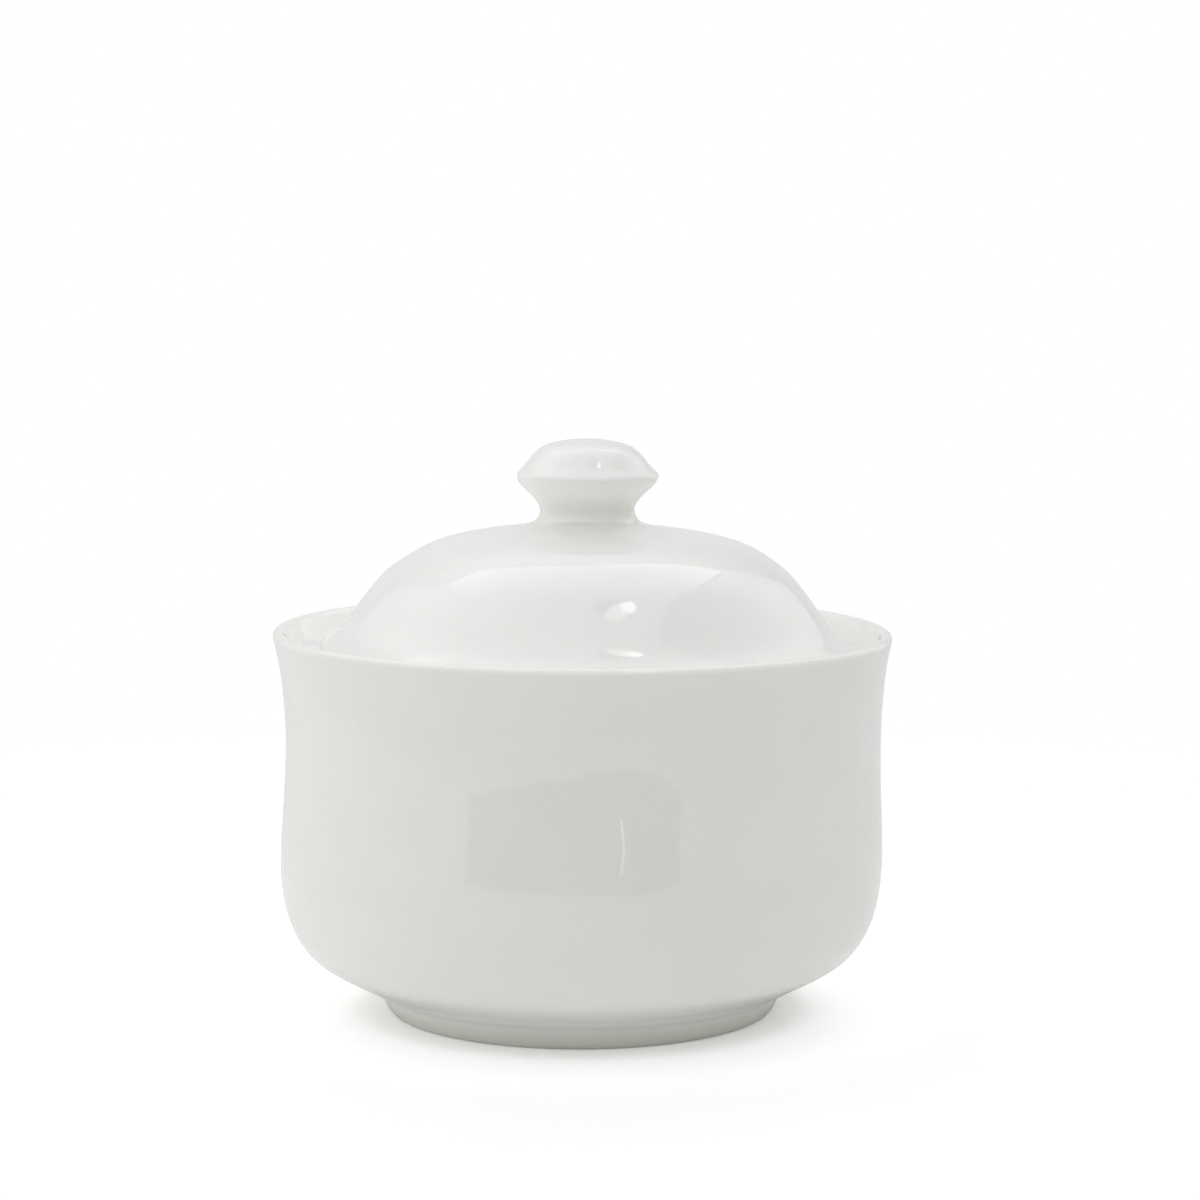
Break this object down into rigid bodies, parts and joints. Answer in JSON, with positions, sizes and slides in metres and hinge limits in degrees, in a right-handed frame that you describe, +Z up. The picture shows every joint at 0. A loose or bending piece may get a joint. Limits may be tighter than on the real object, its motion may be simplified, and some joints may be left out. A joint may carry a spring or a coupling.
{
  "type": "sugar bowl",
  "caption": "Round covered sugar bowl in white glazed china: bellied body on a foot ring, flared lip, set-in domed lid that lifts out by a double-cone knob.",
  "frame": {"origin": "centre of the foot ring's resting plane, on the axis the whole piece is turned about", "axes": "+Z up along the axis of revolution, through the knob; X and Y are equivalent because the object is round"},
  "size_m": [0.105, 0.105, 0.0975],
  "materials": {
    "bowl_glaze": "glossy clear glaze over white bone china, slightly translucent, unglazed ring under the foot",
    "lid_glaze": "glossy clear glaze over white bone china, slightly translucent, unglazed lower edge of the locating ring",
    "knob_glaze": "glossy clear glaze over white bone china, solid"
  },
  "bodies": {
    "bowl": {"bowl": "bowl_glaze"},
    "lid": {"lid": "lid_glaze", "knob": "knob_glaze"}
  },
  "joints": [
    {"name": "lid_lift", "type": "slide", "parent": "bowl", "child": "lid", "axis": [0, 0, 1], "range_m": [0, 0.05]}
  ]
}
